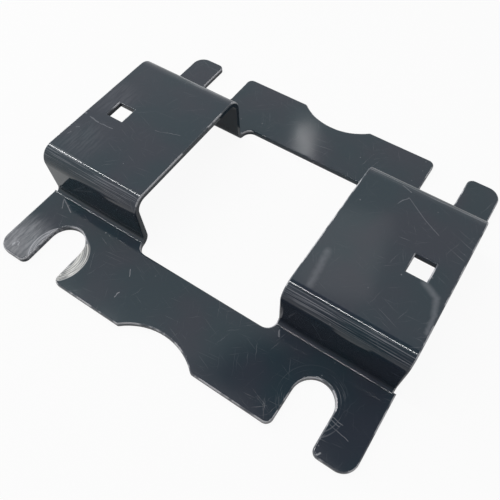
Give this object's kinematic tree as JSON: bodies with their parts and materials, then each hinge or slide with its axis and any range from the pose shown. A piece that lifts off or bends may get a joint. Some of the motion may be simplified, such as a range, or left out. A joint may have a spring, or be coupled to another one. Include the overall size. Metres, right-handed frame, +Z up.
{
  "type": "motor mounting bracket",
  "caption": "Folded sheet-steel motor mounting bracket: raised bridges with square bolt holes over flat strips with open slots, round a central window.",
  "frame": {"origin": "middle of the underside, where the part stands", "axes": "+X along the strips from the left bridge to the right, +Y along the bridges from the front strip to the back, +Z up"},
  "size_m": [0.1924, 0.1624, 0.0297],
  "materials": {
    "paint": "gloss dark blue-grey paint, worn to bare metal in places"
  },
  "bodies": {
    "root": {"bracket": "paint"}
  },
  "joints": []
}
